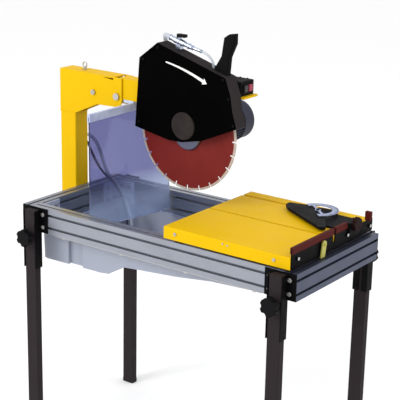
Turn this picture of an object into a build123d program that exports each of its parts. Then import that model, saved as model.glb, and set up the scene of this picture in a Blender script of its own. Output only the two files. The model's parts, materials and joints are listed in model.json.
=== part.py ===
"""Bench-size wet tile cutter: frame on four legs, water tank, rolling cart and a tilting cutting head."""

from build123d import *
from math import radians, tan
import os

os.makedirs("parts", exist_ok=True)

# Driving dimensions, in millimetres.
FRAME_LENGTH = 1008
FRAME_WIDTH = 450
FRAME_TOP = 765
RAIL_HEIGHT = 80
RAIL_THICKNESS = 40
SLOT_OPENING = 8
SLOT_DEPTH = 10
WALL = 3
RUNNING_GAP = 0.3

COLUMN_DEPTH = 65
COLUMN_WIDTH = 60
COLUMN_FRONT = 247
COLUMN_TOP = 247
BRACKET_TOP = 385
PIVOT_X = 172
PIVOT_Z = 325
PIN_RADIUS = 8
FIT = 0.05

BLADE_RADIUS = 175
BLADE_X = 470
BLADE_Y = 225
BLADE_Z = 259
CORE_THICKNESS = 2.4
RIM_THICKNESS = 3.2
RIM_DEPTH = 7
GULLET_WIDTH = 4.5
SEGMENTS = 24
FLANGE_RADIUS = 50
SHAFT_RADIUS = 10
MOTOR_RADIUS = 64
GUARD_FRONT = 195
GUARD_BACK = 246

CART_LEFT = 554
CART_RIGHT = 984
CART_TOP = 42
PLATE = 6
SLOT_WIDTH = 8
WHEEL_RADIUS = 17
WHEEL_PLACES = (595, 932)
FENCE_TOP = 66

LEG_WIDTH = 42
LEG_DEPTH = 25
SOCKET_PLATE = 102
KNOB_RADIUS = 27.5
KNOB_DROP = 90
SOCKET_BOTTOM = 194

# The model's origin is under the middle of the whole machine, on the floor. Places are given from the
# frame's front left top corner, because that is where a maker would measure from.
CORNER_X = -(FRAME_LENGTH - COLUMN_DEPTH) / 2
CORNER_Y = -FRAME_WIDTH / 2
CORNER_Z = FRAME_TOP


def at(x, y, z):
    """A point given from the frame's front left top corner."""
    return Vector(CORNER_X + x, CORNER_Y + y, CORNER_Z + z)


def facing_front(y):
    """A plane across the machine whose sketches read x, z. Its normal points forwards."""
    return Plane(origin=at(0, y, 0), x_dir=(1, 0, 0), z_dir=(0, -1, 0))


def facing_right(x):
    """A plane along the machine whose sketches read y, z. Its normal points right."""
    return Plane(origin=at(x, 0, 0), x_dir=(0, 1, 0), z_dir=(1, 0, 0))


def facing_up(z):
    """A level plane whose sketches read x, y."""
    return Plane(origin=at(0, 0, z), x_dir=(1, 0, 0), z_dir=(0, 0, 1))


def block(x, y, z, mode=Mode.ADD):
    """A box over three spans."""
    middle = at((x[0] + x[1]) / 2, (y[0] + y[1]) / 2, (z[0] + z[1]) / 2)
    with Locations(middle):
        Box(x[1] - x[0], y[1] - y[0], z[1] - z[0], mode=mode)


def rod(start, end, radius, mode=Mode.ADD):
    """A round bar from one point to another."""
    along = end - start
    with Locations(Plane(origin=start, z_dir=along)):
        Cylinder(radius, along.length, align=(Align.CENTER, Align.CENTER, Align.MIN), mode=mode)


def outline(points):
    """A closed flat face through the points, in the current sketch."""
    with BuildLine() as edge:
        Polyline(*points, close=True)
    make_face(edge.edges())


def save(name, part):
    """Labels a finished piece and writes it."""
    part.label = name
    export_step(part, f"parts/{name}.step")


def cap_screw(head_radius, head_height, shank_radius, shank_length):
    """A socket cap screw whose head stands on its own XY plane."""
    with BuildPart() as screw:
        Cylinder(head_radius, head_height, align=(Align.CENTER, Align.CENTER, Align.MIN))
        chamfer(screw.edges().group_by(Axis.Z)[-1], head_radius * 0.12)
        Cylinder(shank_radius, shank_length, align=(Align.CENTER, Align.CENTER, Align.MAX))
        with BuildSketch(Plane.XY.offset(head_height)):
            RegularPolygon(head_radius * 0.5, 6)
        extrude(amount=-head_height * 0.6, mode=Mode.SUBTRACT)
    return screw.part


# ---- Frame -------------------------------------------------------------------------------------------


def rail_section():
    """Slotted extrusion: two slots on each tall side, one above and one below, and two round cores."""
    neck = 4
    chamber = SLOT_OPENING * 2
    with BuildSketch() as section:
        Rectangle(RAIL_THICKNESS, RAIL_HEIGHT)
        for side in (-1, 1):
            for level in (-1, 1):
                with Locations((side * (RAIL_THICKNESS - neck) / 2, level * RAIL_HEIGHT / 4)):
                    Rectangle(neck, SLOT_OPENING, mode=Mode.SUBTRACT)
                middle = RAIL_THICKNESS / 2 - neck - (SLOT_DEPTH - neck) / 2
                with Locations((side * middle, level * RAIL_HEIGHT / 4)):
                    Rectangle(SLOT_DEPTH - neck, chamber, mode=Mode.SUBTRACT)
            with Locations((0, side * (RAIL_HEIGHT - neck) / 2)):
                Rectangle(SLOT_OPENING, neck, mode=Mode.SUBTRACT)
            with Locations((0, side * (RAIL_HEIGHT / 2 - neck - (SLOT_DEPTH - neck) / 2))):
                Rectangle(chamber, SLOT_DEPTH - neck, mode=Mode.SUBTRACT)
            with Locations((0, side * RAIL_HEIGHT / 4)):
                Circle(5, mode=Mode.SUBTRACT)
        Circle(8, mode=Mode.SUBTRACT)
    return section.sketch


def make_rails():
    section = rail_section()
    half = RAIL_THICKNESS / 2
    for name, y in (("rail_front", half), ("rail_back", FRAME_WIDTH - half)):
        with BuildPart() as rail:
            with BuildSketch(facing_right(RAIL_THICKNESS)):
                with Locations((y, -RAIL_HEIGHT / 2)):
                    add(section)
            extrude(amount=FRAME_LENGTH - 2 * RAIL_THICKNESS)
        save(name, rail.part)
    for name, x in (("rail_left", half), ("rail_right", FRAME_LENGTH - half)):
        with BuildPart() as rail:
            with BuildSketch(facing_front(0)):
                with Locations((x, -RAIL_HEIGHT / 2)):
                    add(section)
            extrude(amount=-FRAME_WIDTH)
        save(name, rail.part)


BRACKET_LEG = 76
BRACKET_SHEET = 6
BRACKET_SPAN = (-76, -4)
SLOT_LEVELS = (-20, -60)
BRACKET_BOLT_STEPS = (24, 58)


def inner_corners():
    """Each inner corner of the frame, with the directions that lead away from it."""
    near_x = RAIL_THICKNESS
    far_x = FRAME_LENGTH - RAIL_THICKNESS
    near_y = RAIL_THICKNESS
    far_y = FRAME_WIDTH - RAIL_THICKNESS
    return [(x, y, dx, dy) for x, dx in ((near_x, 1), (far_x, -1)) for y, dy in ((near_y, 1), (far_y, -1))]


def make_corner_brackets():
    """Angle plates that tie the rails together inside the four corners."""
    with BuildPart() as brackets:
        for x, y, dx, dy in inner_corners():
            with BuildSketch(facing_up(BRACKET_SPAN[0])):
                outline(
                    [
                        (x, y),
                        (x + dx * BRACKET_LEG, y),
                        (x + dx * BRACKET_LEG, y + dy * BRACKET_SHEET),
                        (x + dx * BRACKET_SHEET, y + dy * BRACKET_SHEET),
                        (x + dx * BRACKET_SHEET, y + dy * BRACKET_LEG),
                        (x, y + dy * BRACKET_LEG),
                    ]
                )
            extrude(amount=BRACKET_SPAN[1] - BRACKET_SPAN[0])
        for x, y, dx, dy in inner_corners():
            for step in BRACKET_BOLT_STEPS:
                for z in SLOT_LEVELS:
                    into_y = at(x + dx * step, y + dy * 2 * BRACKET_SHEET, z)
                    into_x = at(x + dx * 2 * BRACKET_SHEET, y + dy * step, z)
                    rod(into_y, at(x + dx * step, y - dy, z), 3.4, Mode.SUBTRACT)
                    rod(into_x, at(x - dx, y + dy * step, z), 3.4, Mode.SUBTRACT)
    save("corner_brackets", brackets.part)


def bracket_bolt_places():
    places = []
    for x, y, dx, dy in inner_corners():
        for step in BRACKET_BOLT_STEPS:
            for z in SLOT_LEVELS:
                along_x = at(x + dx * step, y + dy * BRACKET_SHEET, z)
                along_y = at(x + dx * BRACKET_SHEET, y + dy * step, z)
                places.append(Plane(origin=along_x, z_dir=(0, dy, 0)))
                places.append(Plane(origin=along_y, z_dir=(dx, 0, 0)))
    return places


SOCKET_CENTRES = (SOCKET_PLATE / 2, FRAME_LENGTH - SOCKET_PLATE / 2)
SOCKET_BOLT_XS = (RAIL_THICKNESS / 2, 85, FRAME_LENGTH - 85, FRAME_LENGTH - RAIL_THICKNESS / 2)


def outside(side, distance):
    """The y of a point that far outside the front (-1) or the back (1) of the frame."""
    return -distance if side < 0 else FRAME_WIDTH + distance


def socket_bolt_places():
    places = []
    for side in (-1, 1):
        for x in SOCKET_BOLT_XS:
            for z in SLOT_LEVELS:
                places.append(Plane(origin=at(x, outside(side, WALL), z), z_dir=(0, side, 0)))
    return places


COLUMN_BOLT_YS = (COLUMN_FRONT + 15, COLUMN_FRONT + COLUMN_WIDTH - 15)


def column_bolt_places():
    places = []
    for y in COLUMN_BOLT_YS:
        for z in SLOT_LEVELS:
            places.append(Plane(origin=at(-4, y, z), z_dir=(-1, 0, 0)))
    return places


RUNNER_BOLT_XS = (150, 380, 620, 860)
RUNNER_BOTTOM = -86.3


def runner_bolt_places():
    places = []
    for x in RUNNER_BOLT_XS:
        for y in (RAIL_THICKNESS / 2, FRAME_WIDTH - RAIL_THICKNESS / 2):
            places.append(Plane(origin=at(x, y, RUNNER_BOTTOM), z_dir=(0, 0, -1)))
    return places


def make_frame_bolts():
    """Every screw of the frame: corner plates, leg sockets, column and tank runners."""
    long_screw = cap_screw(6, 5, 3, BRACKET_SHEET + SLOT_DEPTH - 1)
    short_screw = cap_screw(6.5, 5, 3, WALL + SLOT_DEPTH - 1)
    with BuildPart() as bolts:
        with Locations(*bracket_bolt_places()):
            add(long_screw)
        with Locations(*socket_bolt_places(), *column_bolt_places(), *runner_bolt_places()):
            add(short_screw)
    save("frame_bolts", bolts.part)


# ---- Water tank --------------------------------------------------------------------------------------

TANK_RIM = -80.3
TANK_LEFT = 44
TANK_RIGHT = 966
TANK_FRONT = 42
TANK_BACK = FRAME_WIDTH - TANK_FRONT
SUMP_RIGHT = 373
SUMP_FLOOR = -181
RIB_SPAN = (148, 206)
RIB_DEPTH = 12
DRAIN_X = 240
DRAIN_Y = 110
DRAIN_RADIUS = 10
TANK_SPAN = (TANK_LEFT - 10, TANK_RIGHT + 10)
TANK_DEPTH = (TANK_FRONT - 10, TANK_BACK + 10)


def tank_outline(rim):
    """Side outline of the tank: a deep sump on the left and a shallow floor that drains into it."""
    return [
        (TANK_LEFT, rim),
        (TANK_LEFT + 4, SUMP_FLOOR + 3),
        (TANK_LEFT + 12, SUMP_FLOOR),
        (280, SUMP_FLOOR + 3),
        (312, SUMP_FLOOR + 7),
        (SUMP_RIGHT, -139),
        (569, -123),
        (697, -107),
        (TANK_RIGHT - 8, -95),
        (TANK_RIGHT, rim),
    ]


def make_water_tank():
    with BuildPart() as hollow:
        with BuildSketch(facing_front(TANK_FRONT + WALL)):
            outline(tank_outline(TANK_RIM + 3 * WALL))
            offset(amount=-WALL, kind=Kind.INTERSECTION)
        extrude(amount=-(TANK_BACK - TANK_FRONT - 2 * WALL))
        rib = (RIB_SPAN[0] - WALL, RIB_SPAN[1] + WALL)
        rib_depth = (TANK_FRONT, TANK_FRONT + RIB_DEPTH + WALL)
        block(rib, rib_depth, (SUMP_FLOOR, TANK_RIM + 3 * WALL), Mode.SUBTRACT)
    with BuildPart() as tank:
        with BuildSketch(facing_front(TANK_FRONT)):
            outline(tank_outline(TANK_RIM))
        extrude(amount=-(TANK_BACK - TANK_FRONT))
        block(TANK_SPAN, TANK_DEPTH, (TANK_RIM - WALL, TANK_RIM))
        rib_depth = (TANK_FRONT - 20, TANK_FRONT + RIB_DEPTH)
        block(RIB_SPAN, rib_depth, (SUMP_FLOOR - 5, TANK_RIM - WALL), Mode.SUBTRACT)
        add(hollow.part, mode=Mode.SUBTRACT)
        drain = (at(DRAIN_X, DRAIN_Y, SUMP_FLOOR - 5), at(DRAIN_X, DRAIN_Y, SUMP_FLOOR + 12))
        rod(*drain, DRAIN_RADIUS, Mode.SUBTRACT)
    save("water_tank", tank.part)


def make_drain_plug():
    """A threaded plug with a ribbed head and a bar to turn it by, screwed up into the sump."""
    head_top = SUMP_FLOOR - 0.5
    with BuildPart() as plug:
        rod(at(DRAIN_X, DRAIN_Y, head_top), at(DRAIN_X, DRAIN_Y, SUMP_FLOOR + 10), DRAIN_RADIUS - FIT)
        rod(at(DRAIN_X, DRAIN_Y, head_top), at(DRAIN_X, DRAIN_Y, head_top - 6), 17)
        block((DRAIN_X - 14, DRAIN_X + 14), (DRAIN_Y - 3, DRAIN_Y + 3), (head_top - 16, head_top - 6))
    save("drain_plug", plug.part)


def make_tank_runners():
    """Stepped strips screwed under the long rails. Their lips carry the tank's rim."""
    lip_top = TANK_RIM - WALL - RUNNING_GAP
    with BuildPart() as runners:
        for side in (-1, 1):
            centre = FRAME_WIDTH / 2
            with BuildSketch(facing_right(120)):
                outline(
                    [
                        (centre + side * (centre - 10), -RAIL_HEIGHT),
                        (centre + side * (centre - 30), -RAIL_HEIGHT),
                        (centre + side * (centre - 30), lip_top),
                        (centre + side * (centre - 38), lip_top),
                        (centre + side * (centre - 38), RUNNER_BOTTOM),
                        (centre + side * (centre - 10), RUNNER_BOTTOM),
                    ]
                )
            extrude(amount=FRAME_LENGTH - 240)
        for x in RUNNER_BOLT_XS:
            for y in (RAIL_THICKNESS / 2, FRAME_WIDTH - RAIL_THICKNESS / 2):
                rod(at(x, y, RUNNER_BOTTOM - 1), at(x, y, -RAIL_HEIGHT + 1), 3.4, Mode.SUBTRACT)
    save("tank_runners", runners.part)


# ---- Pump --------------------------------------------------------------------------------------------

PUMP_X = 158
PUMP_Y = 325
PUMP_TOP = -134
STUB_X = PUMP_X + 14
CABLE_RADIUS = 4
HOSE_RADIUS = 6
CABLE_ROUTE = [
    (-44, 302, 148),
    (-44, 326, 147),
    (-36, 344, 128),
    (-24, 349, 98),
    (-5, 349, 65),
    (26, 347, 33),
    (68, 345, 13),
    (99, 342, -10),
    (122, 336, -42),
    (141, 327, -70),
    (157, 316, -92),
    (163, 312, -113),
    (163, 312, PUMP_TOP),
]
HOSE_ROUTE = [
    (-22, 300, 160),
    (-22, 330, 159),
    (-13, 352, 140),
    (0, 362, 108),
    (12, 364, 74),
    (26, 364, 40),
    (50, 364, 10),
    (84, 360, -12),
    (114, 353, -38),
    (138, 344, -64),
    (160, 332, -82),
    (STUB_X, PUMP_Y, -102),
    (STUB_X, PUMP_Y, PUMP_TOP + 12),
]
ENTRY_CLEARANCE = 1


def cord_radii(points):
    """The largest round corner that each pair of runs allows."""
    radii = []
    for before, here, after in zip(points, points[1:], points[2:]):
        turn = (here - before).get_angle(after - here)
        shorter = min((here - before).length, (after - here).length)
        radii.append(0.45 * shorter / tan(radians(turn) / 2))
    return radii


def cord(name, route, radius):
    """A round cord along straight runs joined by arcs."""
    points = [at(*spot) for spot in route]
    radii = cord_radii(points)
    with BuildLine() as path:
        FilletPolyline(*points, radius=radii)
    with BuildSketch(Plane(origin=points[0], z_dir=points[1] - points[0])) as ring:
        Circle(radius)
    wire = path.wires()[0]
    sweep(ring.sketch, path=wire)
    print(name, "radii", [round(r) for r in radii], "length", round(wire.length, 1))


def make_pump():
    """A submersible pump with ribbed sides, a strainer foot and an outlet stub."""
    with BuildPart() as pump:
        block((PUMP_X - 42, PUMP_X + 42), (PUMP_Y - 28, PUMP_Y + 28), (SUMP_FLOOR + 6.5, PUMP_TOP - 14))
        fillet(pump.edges().filter_by(Axis.Z), 10)
        block((PUMP_X - 32, PUMP_X + 32), (PUMP_Y - 22, PUMP_Y + 22), (PUMP_TOP - 14, PUMP_TOP))
        fillet(pump.edges().group_by(Axis.Z)[-1], 5)
        rod(at(STUB_X, PUMP_Y, PUMP_TOP), at(STUB_X, PUMP_Y, PUMP_TOP + 12), 8)
        for step in range(-3, 4):
            x = PUMP_X + step * 10
            slot_depth = (PUMP_Y - 34, PUMP_Y - 25)
            block((x - 2, x + 2), slot_depth, (SUMP_FLOOR + 9, SUMP_FLOOR + 26), Mode.SUBTRACT)
    save("pump_housing", pump.part)


def make_pump_lines():
    """The pump's cable and its water hose, from the pump into the column."""
    with BuildPart() as lines:
        cord("pump cable", CABLE_ROUTE, CABLE_RADIUS)
        cord("pump hose", HOSE_ROUTE, HOSE_RADIUS)
    save("pump_lines", lines.part)


# ---- Legs --------------------------------------------------------------------------------------------


def make_leg_sockets():
    """A bolted plate with a tongue and two side walls. A slot in the tongue takes the knob's stud."""
    with BuildPart() as sockets:
        for side in (-1, 1):
            near, far = sorted((outside(side, 0), outside(side, WALL)))
            wall_near, wall_far = sorted((outside(side, WALL), outside(side, 31)))
            for centre in SOCKET_CENTRES:
                half = SOCKET_PLATE / 2
                inner = LEG_WIDTH / 2 + 0.5
                block((centre - half, centre + half), (near, far), (-79, -1))
                block((centre - inner - WALL, centre + inner + WALL), (near, far), (-SOCKET_BOTTOM, -79))
                for hand in (-1, 1):
                    wall = sorted((centre + hand * inner, centre + hand * (inner + WALL)))
                    block(wall, (wall_near, wall_far), (-SOCKET_BOTTOM, -5))
                slot = (centre - 4.5, centre + 4.5)
                block(slot, (near - 1, far + 1), (-SOCKET_BOTTOM - 1, -KNOB_DROP), Mode.SUBTRACT)
                rod(at(centre, near - 1, -KNOB_DROP), at(centre, far + 1, -KNOB_DROP), 4.5, Mode.SUBTRACT)
            for x in SOCKET_BOLT_XS:
                for z in SLOT_LEVELS:
                    rod(at(x, near - 1, z), at(x, far + 1, z), 3.4, Mode.SUBTRACT)
    save("leg_sockets", sockets.part)


LEG_NAMES = (("front_left", -1, 0), ("front_right", -1, 1), ("back_left", 1, 0), ("back_right", 1, 1))
LEG_WALL = 2.5
FOOT_HEIGHT = 14
LEG_TOP = -10


def make_legs():
    """Box-section legs with a plastic cap, a rubber foot and a clamp plate behind the socket's tongue."""
    for name, side, column in LEG_NAMES:
        x = SOCKET_CENTRES[column]
        inner = WALL + RUNNING_GAP
        depth = sorted((outside(side, inner), outside(side, inner + LEG_DEPTH)))
        hollow = (depth[0] + LEG_WALL, depth[1] - LEG_WALL)
        half = LEG_WIDTH / 2
        foot_top = -FRAME_TOP + FOOT_HEIGHT
        with BuildPart() as leg:
            block((x - half, x + half), depth, (foot_top, LEG_TOP))
            fillet(leg.edges().filter_by(Axis.Z), 2)
            inside = (x - half + LEG_WALL, x + half - LEG_WALL)
            block(inside, hollow, (foot_top - 1, LEG_TOP + 1), Mode.SUBTRACT)
            rod(at(x, depth[0] - 1, -KNOB_DROP), at(x, depth[1] + 1, -KNOB_DROP), 4.1, Mode.SUBTRACT)
            block((x - half, x + half), depth, (LEG_TOP + 0.1, LEG_TOP + 4))
            block((x - half, x + half), depth, (-FRAME_TOP, foot_top - 0.1))
            plate = sorted((outside(side, -RUNNING_GAP), outside(side, -7)))
            block((x - 14, x + 14), plate, (-KNOB_DROP - 8, -KNOB_DROP + 8))
            rod(at(x, plate[0] - 1, -KNOB_DROP), at(x, plate[1] + 1, -KNOB_DROP), 4 + FIT, Mode.SUBTRACT)
        save(f"leg_{name}", leg.part)


def make_leg_knobs():
    """Lobed clamp knobs on a long stud."""
    for name, side, column in LEG_NAMES:
        x = SOCKET_CENTRES[column]
        face = WALL + RUNNING_GAP + LEG_DEPTH + RUNNING_GAP
        middle = at(x, outside(side, face + 14), -KNOB_DROP)
        facing = Plane(origin=middle, x_dir=(1, 0, 0), z_dir=(0, side, 0))
        with BuildPart() as knob:
            with BuildSketch(facing):
                Circle(KNOB_RADIUS)
                with PolarLocations(KNOB_RADIUS + 4, 6):
                    Circle(9, mode=Mode.SUBTRACT)
            extrude(amount=19)
            fillet(knob.edges().filter_by(GeomType.CIRCLE).group_by(Axis.Y)[-1 if side > 0 else 0], 2)
            rod(at(x, outside(side, face), -KNOB_DROP), at(x, outside(side, face + 15), -KNOB_DROP), 10)
            rod(at(x, outside(side, -12), -KNOB_DROP), at(x, outside(side, face + 15), -KNOB_DROP), 4)
        save(f"knob_{name}", knob.part)


# ---- Column and head bracket -------------------------------------------------------------------------

CHEEK = 4
COLUMN_BACK = COLUMN_FRONT + COLUMN_WIDTH
HEAD_Y = COLUMN_FRONT + COLUMN_WIDTH / 2
STOP_PIN_X = 77
STOP_PIN_Z = 326
DEPTH_SCREW_X = 15
DEPTH_SCREW_TIP = 358.5
SPRING_X = -33
SPRING_BOTTOM = 60
SPRING_TOP = 296


def make_column():
    """Box-section post outside the left rail, with entry holes for the pump's cable and hose."""
    with BuildPart() as column:
        block((-COLUMN_DEPTH, 0), (COLUMN_FRONT, COLUMN_BACK), (-RAIL_HEIGHT, COLUMN_TOP))
        fillet(column.edges().filter_by(Axis.Z), 4)
        inner_x = (-COLUMN_DEPTH + CHEEK, -CHEEK)
        inner_y = (COLUMN_FRONT + CHEEK, COLUMN_BACK - CHEEK)
        block(inner_x, inner_y, (-RAIL_HEIGHT - 1, COLUMN_TOP + 1), Mode.SUBTRACT)
        for y in COLUMN_BOLT_YS:
            for z in SLOT_LEVELS:
                rod(at(-CHEEK - 1, y, z), at(1, y, z), 3.4, Mode.SUBTRACT)
                rod(at(-COLUMN_DEPTH - 1, y, z), at(-COLUMN_DEPTH + CHEEK + 1, y, z), 8, Mode.SUBTRACT)
        for route, radius in ((CABLE_ROUTE, CABLE_RADIUS), (HOSE_ROUTE, HOSE_RADIUS)):
            inside, outer = at(*route[0]), at(*route[1])
            rod(inside, outer, radius + ENTRY_CLEARANCE, Mode.SUBTRACT)
        block((SPRING_X - 3, SPRING_X + 3), inner_y, (SPRING_BOTTOM - 12, SPRING_BOTTOM - 6))
    save("column", column.part)


def bracket_side():
    """Side view of the head bracket, from the column's top out past the pivot."""
    return [
        (-COLUMN_DEPTH, COLUMN_TOP),
        (-COLUMN_DEPTH, BRACKET_TOP),
        (159, BRACKET_TOP),
        (192, BRACKET_TOP - 1),
        (192, 308),
        (187, 298),
        (175, 291),
        (90, 288),
        (0, COLUMN_TOP),
    ]


def make_head_bracket():
    """Two cheeks, an end wall and a top plate, welded on top of the column."""
    with BuildPart() as bracket:
        for front in (COLUMN_FRONT, COLUMN_BACK - CHEEK):
            with BuildSketch(facing_front(front)):
                outline(bracket_side())
            extrude(amount=-CHEEK)
        block((-COLUMN_DEPTH, -COLUMN_DEPTH + CHEEK), (COLUMN_FRONT, COLUMN_BACK), (COLUMN_TOP, BRACKET_TOP))
        block((-COLUMN_DEPTH, 159), (COLUMN_FRONT, COLUMN_BACK), (BRACKET_TOP - CHEEK, BRACKET_TOP))
        with BuildSketch(facing_front(COLUMN_FRONT - 1)):
            outline([(112, BRACKET_TOP - CHEEK - 1), (158, BRACKET_TOP - CHEEK), (158, BRACKET_TOP - 10)])
        extrude(amount=-COLUMN_WIDTH - 2, mode=Mode.SUBTRACT)
        for x, z, radius in ((PIVOT_X, PIVOT_Z, PIN_RADIUS), (STOP_PIN_X, STOP_PIN_Z, 5)):
            rod(at(x, COLUMN_FRONT - 1, z), at(x, COLUMN_BACK + 1, z), radius + 0.02, Mode.SUBTRACT)
        screw_top = at(DEPTH_SCREW_X, HEAD_Y, BRACKET_TOP + 1)
        rod(at(DEPTH_SCREW_X, HEAD_Y, BRACKET_TOP - CHEEK - 1), screw_top, 4 + FIT, Mode.SUBTRACT)
    save("head_bracket", bracket.part)


def make_pivot_pin():
    """The head's hinge pin, and the cross pin that the head's tail rests on when the head is up."""
    with BuildPart() as pins:
        for x, z, radius, head in ((PIVOT_X, PIVOT_Z, PIN_RADIUS, 11), (STOP_PIN_X, STOP_PIN_Z, 5, 8)):
            rod(at(x, COLUMN_FRONT - 1, z), at(x, COLUMN_BACK + 1, z), radius)
            rod(at(x, COLUMN_FRONT - 6, z), at(x, COLUMN_FRONT, z), head)
            rod(at(x, COLUMN_BACK, z), at(x, COLUMN_BACK + 6, z), head)
    save("pivot_pins", pins.part)


def make_depth_screw():
    """Eye screw through the bracket's top. Its tip stops the tail, which sets the cutting depth."""
    top = BRACKET_TOP + 2
    with BuildPart() as screw:
        rod(at(DEPTH_SCREW_X, HEAD_Y, DEPTH_SCREW_TIP), at(DEPTH_SCREW_X, HEAD_Y, top + 8), 4)
        rod(at(DEPTH_SCREW_X, HEAD_Y, BRACKET_TOP + 0.3), at(DEPTH_SCREW_X, HEAD_Y, top + 4), 7)
        with Locations(Plane(origin=at(DEPTH_SCREW_X, HEAD_Y, top + 15), z_dir=(0, 1, 0))):
            Torus(8, 2.2)
    save("depth_screw", screw.part)


def make_lift_spring():
    """Extension spring inside the column, from a fixed cross bar up to the head's tail."""
    coil_radius = 11
    wire_radius = 1.6
    pitch = 11.5
    height = SPRING_TOP - SPRING_BOTTOM - 12
    base = at(SPRING_X, HEAD_Y, SPRING_BOTTOM)
    with BuildPart() as spring:
        with BuildLine() as coil:
            Helix(pitch=pitch, height=height, radius=coil_radius, center=base)
        wire = coil.edges()[0]
        with BuildSketch(Plane(origin=wire @ 0, z_dir=wire % 0)):
            Circle(wire_radius)
        sweep(path=wire, is_frenet=True)
    save("lift_spring", spring.part)


# ---- Cutting head ------------------------------------------------------------------------------------

ARM_FRONT = 252
ARM_BACK = 302
ARM_RIGHT = 395
ARM_TOP = 384
ARM_BOTTOM = 318
SHELF_RIGHT = 650
SHELF_BACK = 322
SHELF = 6
FACE_PLATE = (250, 258)


def make_head_arm():
    """Box-section arm with pivot ears and a tail that the spring pulls and the stops meet."""
    with BuildPart() as arm:
        with BuildSketch(facing_front(ARM_FRONT)):
            outline(
                [
                    (ARM_RIGHT, ARM_TOP),
                    (176, ARM_TOP),
                    (150, 374),
                    (120, 366),
                    (120, ARM_BOTTOM + 14),
                    (150, 308),
                    (160, 304),
                    (184, 304),
                    (196, ARM_BOTTOM),
                    (ARM_RIGHT, ARM_BOTTOM),
                ]
            )
        extrude(amount=-(ARM_BACK - ARM_FRONT))
        hollow = (ARM_FRONT + 4, ARM_BACK - 4)
        block((204, ARM_RIGHT + 1), hollow, (ARM_BOTTOM + 4, ARM_TOP - 4), Mode.SUBTRACT)
        rod(at(332, 262, ARM_TOP - 8), at(334, 262, ARM_TOP + 10), 8, Mode.SUBTRACT)
        with BuildSketch(facing_front(HEAD_Y - 10)):
            tail = [(121, 364), (77, 350), (15, 330), (-47, 316), (-47, 300), (15, 312)]
            outline([*tail, (68, 331.2), (121, 331.2)])
        extrude(amount=-20)
        pivot = (at(PIVOT_X, ARM_FRONT - 1, PIVOT_Z), at(PIVOT_X, ARM_BACK + 1, PIVOT_Z))
        rod(*pivot, PIN_RADIUS + FIT, Mode.SUBTRACT)
    save("head_arm", arm.part)


def make_motor_plate():
    """A face plate that carries motor and guard, under a level shelf that carries the switch box."""
    with BuildPart() as plate:
        with BuildSketch(facing_front(FACE_PLATE[0])):
            lower_edge = [(590, 300), (530, 200), (410, 200), (ARM_RIGHT, 230)]
            outline([(ARM_RIGHT, ARM_TOP), (590, ARM_TOP), *lower_edge])
            fillet(vertices().group_by(Axis.Y)[0], 12)
            with Locations((BLADE_X, BLADE_Z)):
                Circle(24, mode=Mode.SUBTRACT)
        extrude(amount=-(FACE_PLATE[1] - FACE_PLATE[0]))
        block((ARM_RIGHT, SHELF_RIGHT), (FACE_PLATE[0], SHELF_BACK), (ARM_TOP, ARM_TOP + SHELF))
        block((ARM_RIGHT, ARM_RIGHT + SHELF), (FACE_PLATE[1], SHELF_BACK - 12), (340, ARM_TOP))
        block((584, 590), (FACE_PLATE[1], SHELF_BACK - 12), (350, ARM_TOP))
    save("motor_plate", plate.part)


MOTOR_END = 446
COVER_END = 492
BEARING_YS = (262, 430)
BEARING_WIDTH = 14


def spindle_axis(y):
    return at(BLADE_X, y, BLADE_Z)


def make_motor():
    """Finned housing, ventilated end cover, stator and two bearings, all on the spindle's axis."""
    bore = MOTOR_RADIUS - 11
    with BuildPart() as housing:
        rod(spindle_axis(FACE_PLATE[1]), spindle_axis(MOTOR_END), MOTOR_RADIUS - 6)
        rod(spindle_axis(FACE_PLATE[1]), spindle_axis(FACE_PLATE[1] + 14), MOTOR_RADIUS)
        rod(spindle_axis(MOTOR_END - 8), spindle_axis(MOTOR_END), MOTOR_RADIUS)
        with BuildSketch(facing_front(FACE_PLATE[1] + 16)):
            with Locations((BLADE_X, BLADE_Z)):
                with PolarLocations(MOTOR_RADIUS - 4, 40):
                    Rectangle(8, 2.4)
        extrude(amount=-(MOTOR_END - FACE_PLATE[1] - 26))
        block((BLADE_X - 34, BLADE_X + 34), (300, 370), (BLADE_Z + 44, BLADE_Z + MOTOR_RADIUS + 12))
        rod(spindle_axis(FACE_PLATE[1] + 18), spindle_axis(MOTOR_END - 18), bore, Mode.SUBTRACT)
        for y in BEARING_YS:
            rod(spindle_axis(y), spindle_axis(y + BEARING_WIDTH), 22.1, Mode.SUBTRACT)
        rod(spindle_axis(FACE_PLATE[1] - 1), spindle_axis(MOTOR_END + 1), 14, Mode.SUBTRACT)
    save("motor_housing", housing.part)
    with BuildPart() as cover:
        rod(spindle_axis(MOTOR_END), spindle_axis(COVER_END), MOTOR_RADIUS - 2)
        fillet(cover.edges().group_by(Axis.Y)[-1], 6)
        rod(spindle_axis(MOTOR_END - 1), spindle_axis(COVER_END - 4), MOTOR_RADIUS - 5, Mode.SUBTRACT)
        with BuildSketch(facing_front(COVER_END - 9)):
            with Locations((BLADE_X, BLADE_Z)):
                for ring, holes in ((16, 8), (30, 16), (44, 24)):
                    with PolarLocations(ring, holes):
                        Circle(2.6)
        extrude(amount=-12, mode=Mode.SUBTRACT)
    save("motor_end_cover", cover.part)
    with BuildPart() as stator:
        rod(spindle_axis(300), spindle_axis(416), bore - 0.2)
        rod(spindle_axis(299), spindle_axis(417), 36, Mode.SUBTRACT)
        with BuildSketch(facing_front(299)):
            with Locations((BLADE_X, BLADE_Z)):
                with PolarLocations(42, 18):
                    Rectangle(13, 5)
        extrude(amount=-118, mode=Mode.SUBTRACT)
    save("motor_stator", stator.part)
    with BuildPart() as bearings:
        for y in BEARING_YS:
            rod(spindle_axis(y), spindle_axis(y + BEARING_WIDTH), 22)
            rod(spindle_axis(y - 1), spindle_axis(y + BEARING_WIDTH + 1), SHAFT_RADIUS + FIT, Mode.SUBTRACT)
    save("motor_bearings", bearings.part)


SHAFT_END = 474
SHAFT_FRONT = 205


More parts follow.
